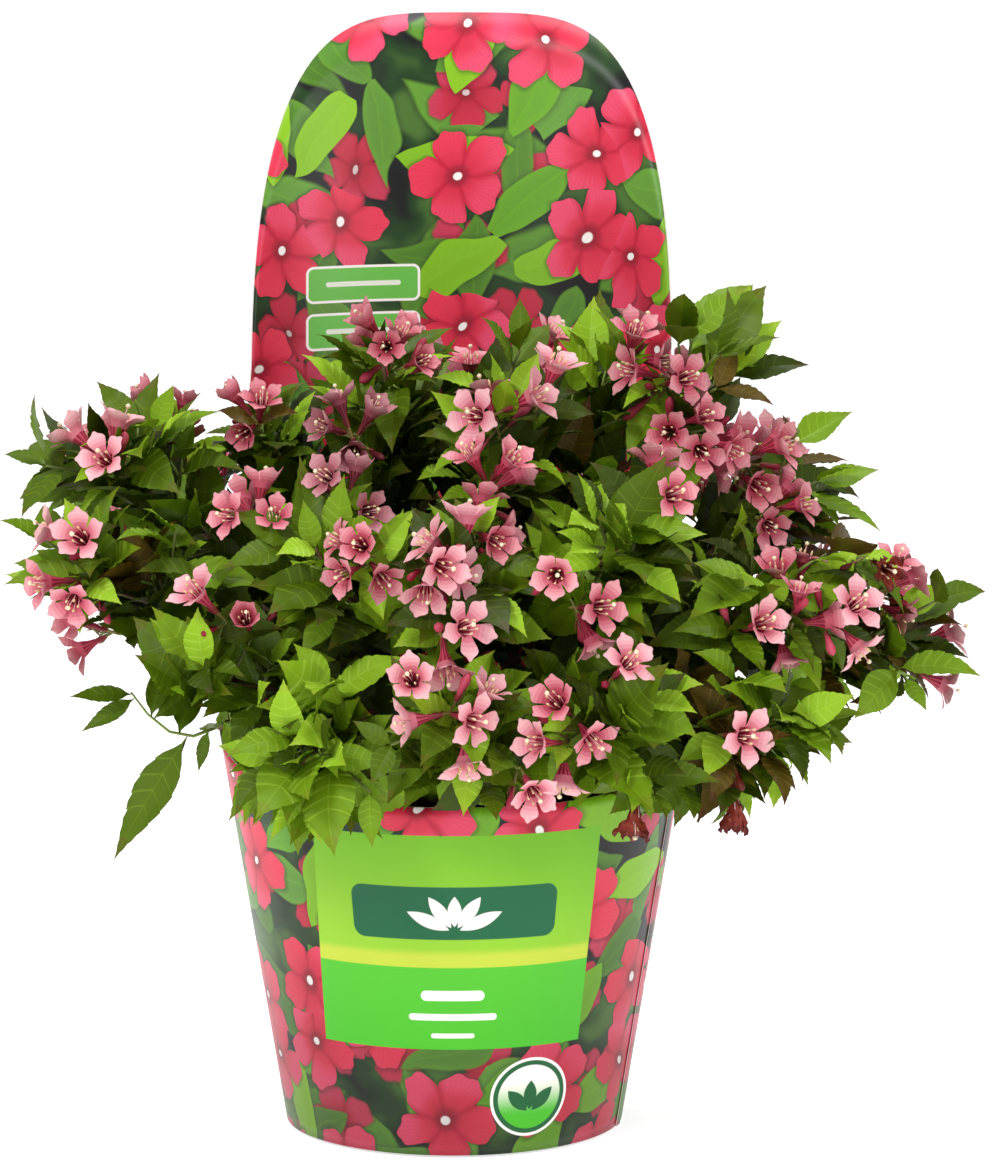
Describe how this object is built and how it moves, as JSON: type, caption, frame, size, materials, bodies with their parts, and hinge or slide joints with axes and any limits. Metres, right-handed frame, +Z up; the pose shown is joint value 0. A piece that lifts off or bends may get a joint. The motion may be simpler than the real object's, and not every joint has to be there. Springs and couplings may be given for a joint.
{
  "type": "potted weigela in flower",
  "caption": "Potted flowering weigela shrub: woody stool and boughs, leafy flowering twigs, in a nursery pot wrapped in a conical card sleeve with a tall arched header.",
  "frame": {"origin": "centre of the pot's flat underside, on the surface that it stands on", "axes": "+Z up, -Y towards the viewer and the front of the sleeve, +X to the viewer's right; the sleeve's header stands at +Y"},
  "size_m": [0.4997, 0.3618, 0.5675],
  "materials": {
    "pot_plastic": "black, slightly satin moulded plastic",
    "potting_mix": "dark, crumbly peat and bark mix",
    "printed_card": "smooth printed card with a satin varnish",
    "bark": "thin brown bark with raised pores",
    "foliage": "satin green leaves, bronze on the young tips",
    "blossom": "soft matt petals, rose pink with pale margins"
  },
  "bodies": {
    "root": {"pot": "pot_plastic", "potting_mix": "potting_mix", "sleeve": "printed_card", "sleeve_seam": "printed_card", "stool": "bark", "bough_leftCrest": "bark", "bough_leftEdge": "bark", "bough_leftFlank": "bark", "bough_upperLeft": "bark", "bough_topLeft": "bark", "bough_innerLeft": "bark", "bough_topCentre": "bark", "bough_centre": "bark", "bough_topRight": "bark", "bough_crestRight": "bark", "bough_shoulderRight": "bark", "bough_centreRight": "bark", "bough_right": "bark", "bough_farRight": "bark", "bough_rightLow": "bark", "bough_frontRight": "bark", "bough_frontCentre": "bark", "bough_frontLeft": "bark", "bough_strayShoot": "bark", "bough_backLeft": "bark", "bough_backRight": "bark", "bough_backCentre": "bark", "bough_backLeftLow": "bark", "bough_backRightLow": "bark", "mass_leftCrest": "foliage", "mass_leftEdge": "foliage", "mass_leftFlank": "foliage", "mass_upperLeft": "foliage", "mass_topLeft": "foliage", "mass_innerLeft": "foliage", "mass_topCentre": "foliage", "mass_centre": "foliage", "mass_topRight": "foliage", "mass_crestRight": "foliage", "mass_shoulderRight": "foliage", "mass_centreRight": "foliage", "mass_right": "foliage", "mass_farRight": "foliage", "mass_rightLow": "foliage", "mass_frontRight": "foliage", "mass_frontCentre": "foliage", "mass_frontLeft": "foliage", "mass_strayShoot": "foliage", "mass_backLeft": "foliage", "mass_backRight": "foliage", "mass_backCentre": "foliage", "mass_backLeftLow": "foliage", "mass_backRightLow": "foliage"}
  },
  "joints": []
}
